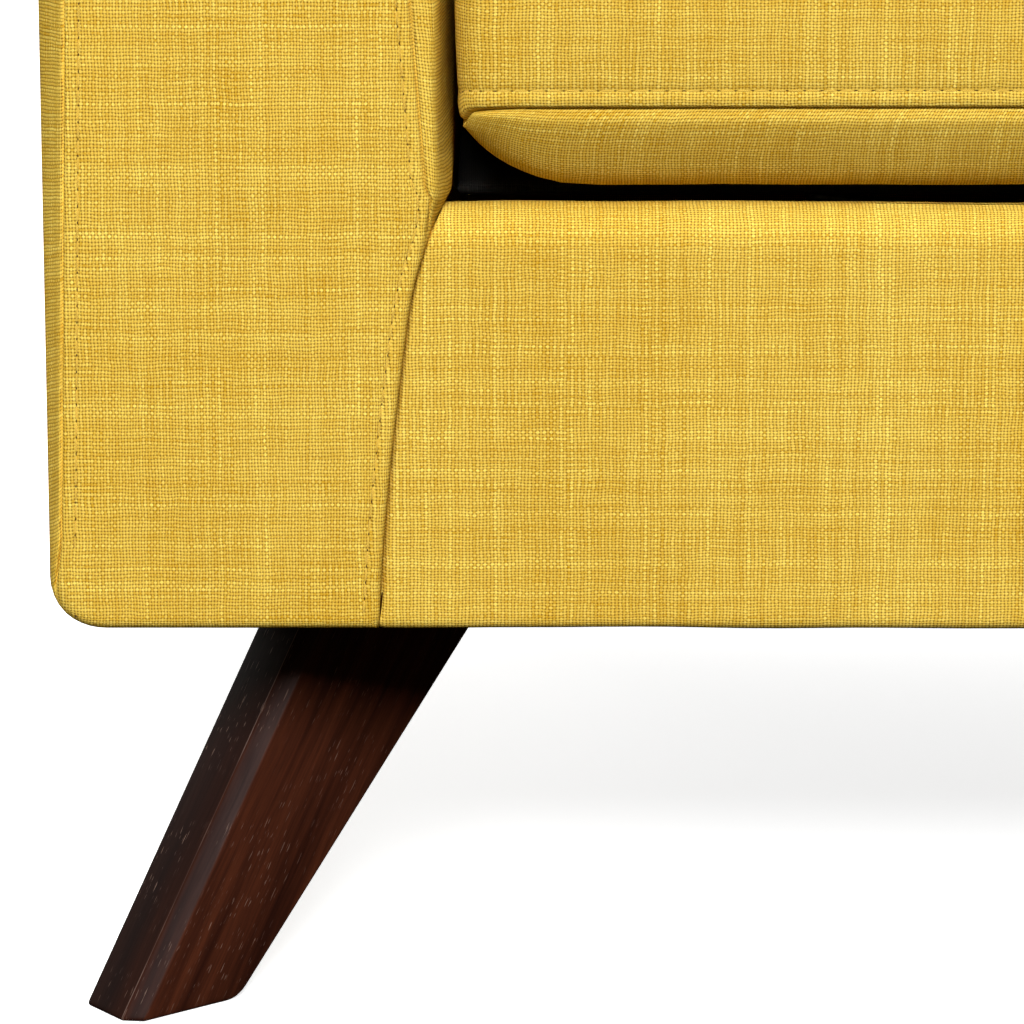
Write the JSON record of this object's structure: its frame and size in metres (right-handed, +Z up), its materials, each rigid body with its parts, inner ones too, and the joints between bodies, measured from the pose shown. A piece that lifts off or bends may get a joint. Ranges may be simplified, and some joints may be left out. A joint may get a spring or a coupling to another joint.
{
  "type": "sofa with wooden legs",
  "caption": "Low track-arm sofa in woven cloth with loose boxed seat and back cushions, topstitched arm panels and splayed dark wooden blade legs.",
  "frame": {"origin": "on the floor, midway between the outer faces of the arms and midway between front and back", "axes": "+Z up; the sofa faces -Y; +X towards the sitter's left, which is the viewer's right; 'left' in names is the -X side"},
  "size_m": [2.08, 0.9, 0.84],
  "materials": {
    "yellow_cloth": "plain linen-look weave",
    "leg_wood": "dark stain under satin lacquer",
    "frame_wood": "sawn, unfinished",
    "dust_cloth": "non-woven felt",
    "cushion_foam": "open-cell foam",
    "spring_steel": "lacquered wire",
    "bolt_steel": "zinc plated",
    "glide_felt": "hard felt",
    "zip_tape": "woven tape, moulded coil",
    "zip_metal": "enamelled to match"
  },
  "bodies": {
    "sofa": {"leg_front_left": "leg_wood", "leg_front_right": "leg_wood", "leg_back_left": "leg_wood", "leg_back_right": "leg_wood", "leg_bolt_front_left": "bolt_steel", "leg_bolt_front_right": "bolt_steel", "leg_bolt_back_left": "bolt_steel", "leg_bolt_back_right": "bolt_steel", "glide_front_left": "glide_felt", "glide_front_right": "glide_felt", "glide_back_left": "glide_felt", "glide_back_right": "glide_felt", "front_rail": "frame_wood", "back_rail": "frame_wood", "side_rail_left": "frame_wood", "side_rail_right": "frame_wood", "centre_stretcher": "frame_wood", "corner_block_front_left": "frame_wood", "corner_block_front_right": "frame_wood", "corner_block_back_left": "frame_wood", "corner_block_back_right": "frame_wood", "arm_front_board_left": "frame_wood", "arm_front_board_right": "frame_wood", "arm_rear_board_left": "frame_wood", "arm_rear_board_right": "frame_wood", "arm_top_board_left": "frame_wood", "arm_top_board_right": "frame_wood", "back_post_left": "frame_wood", "back_post_right": "frame_wood", "back_centre_post": "frame_wood", "back_top_rail": "frame_wood", "seat_spring_1": "spring_steel", "seat_spring_2": "spring_steel", "seat_spring_3": "spring_steel", "seat_spring_4": "spring_steel", "seat_spring_5": "spring_steel", "seat_spring_6": "spring_steel", "arm_cover_left": "yellow_cloth", "arm_cover_right": "yellow_cloth", "front_rail_cover": "yellow_cloth", "back_cover": "yellow_cloth", "dust_cover": "dust_cloth", "seat_deck": "dust_cloth"},
    "seat_cushion_left": {"seat_cushion_cover_left": "yellow_cloth", "seat_cushion_foam_left": "cushion_foam", "seat_cushion_zip_left": "zip_tape"},
    "seat_zip_slider_left": {"seat_cushion_zip_slider_left": "zip_metal"},
    "seat_cushion_right": {"seat_cushion_cover_right": "yellow_cloth", "seat_cushion_foam_right": "cushion_foam", "seat_cushion_zip_right": "zip_tape"},
    "seat_zip_slider_right": {"seat_cushion_zip_slider_right": "zip_metal"},
    "back_cushion_left": {"back_cushion_cover_left": "yellow_cloth", "back_cushion_foam_left": "cushion_foam", "back_cushion_zip_left": "zip_tape"},
    "back_zip_slider_left": {"back_cushion_zip_slider_left": "zip_metal"},
    "back_cushion_right": {"back_cushion_cover_right": "yellow_cloth", "back_cushion_foam_right": "cushion_foam", "back_cushion_zip_right": "zip_tape"},
    "back_zip_slider_right": {"back_cushion_zip_slider_right": "zip_metal"}
  },
  "joints": [
    {"name": "seat_cushion_left_lift", "type": "slide", "parent": "sofa", "child": "seat_cushion_left", "axis": [0, 0, 1], "range_m": [0, 0.35]},
    {"name": "seat_zip_left_slide", "type": "slide", "parent": "seat_cushion_left", "child": "seat_zip_slider_left", "axis": [1, 0, 0], "range_m": [0, 0.68]},
    {"name": "seat_cushion_right_lift", "type": "slide", "parent": "sofa", "child": "seat_cushion_right", "axis": [0, 0, 1], "range_m": [0, 0.35]},
    {"name": "seat_zip_right_slide", "type": "slide", "parent": "seat_cushion_right", "child": "seat_zip_slider_right", "axis": [-1, 0, 0], "range_m": [0, 0.68]},
    {"name": "back_cushion_left_lift", "type": "slide", "parent": "sofa", "child": "back_cushion_left", "axis": [0, 0.1736, 0.9848], "range_m": [0, 0.55]},
    {"name": "back_zip_left_slide", "type": "slide", "parent": "back_cushion_left", "child": "back_zip_slider_left", "axis": [1, 0, 0], "range_m": [0, 0.68]},
    {"name": "back_cushion_right_lift", "type": "slide", "parent": "sofa", "child": "back_cushion_right", "axis": [0, 0.1736, 0.9848], "range_m": [0, 0.55]},
    {"name": "back_zip_right_slide", "type": "slide", "parent": "back_cushion_right", "child": "back_zip_slider_right", "axis": [-1, 0, 0], "range_m": [0, 0.68]}
  ]
}
